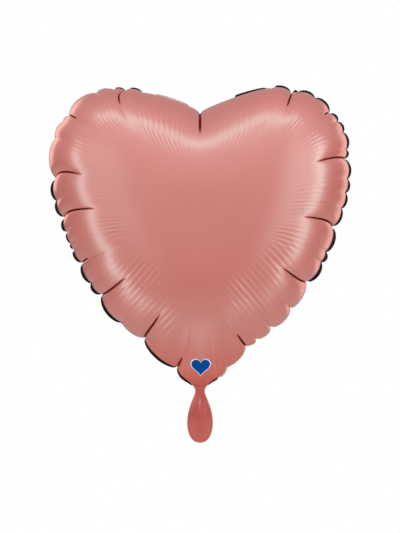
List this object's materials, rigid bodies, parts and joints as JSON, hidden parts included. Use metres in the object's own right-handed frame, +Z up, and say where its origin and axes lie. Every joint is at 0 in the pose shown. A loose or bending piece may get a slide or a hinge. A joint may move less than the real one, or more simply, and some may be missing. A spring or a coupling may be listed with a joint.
{
  "type": "heart-shaped foil balloon",
  "caption": "Inflated heart-shaped foil balloon with a sealed rim, a self-sealing film valve inside its neck and a flat filling tail that folds at the waist.",
  "frame": {"origin": "middle of the tail's narrow waist, where a ribbon is tied, in the balloon's middle plane", "axes": "+Z up, from the waist to the heart's notch; the printed front faces -Y; +X to the right seen from the front"},
  "size_m": [0.41, 0.18, 0.4828],
  "materials": {
    "satin_film": "satin rose-pink metallised film",
    "sealed_film": "heat-sealed rose-pink metallised film",
    "clear_film": "clear polyethylene film",
    "release_ink": "matte heat-resistant release coat",
    "mark_ink": "blue printing ink"
  },
  "bodies": {
    "envelope": {"front_panel": "satin_film", "rear_panel": "satin_film", "seam_band": "sealed_film", "valve_front_ply": "clear_film", "valve_rear_ply": "clear_film", "valve_release_coat": "release_ink", "printed_mark": "mark_ink"},
    "tail": {"tail_front_ply": "satin_film", "tail_rear_ply": "satin_film", "tail_seal_right": "sealed_film", "tail_seal_left": "sealed_film", "valve_mouth_front_ply": "clear_film", "valve_mouth_rear_ply": "clear_film", "valve_mouth_coat": "release_ink"}
  },
  "joints": [
    {"name": "tail_fold", "type": "hinge", "parent": "envelope", "child": "tail", "pos_m": [0, 0, 0], "axis": [1, 0, 0], "range_deg": [-110, 110]}
  ]
}
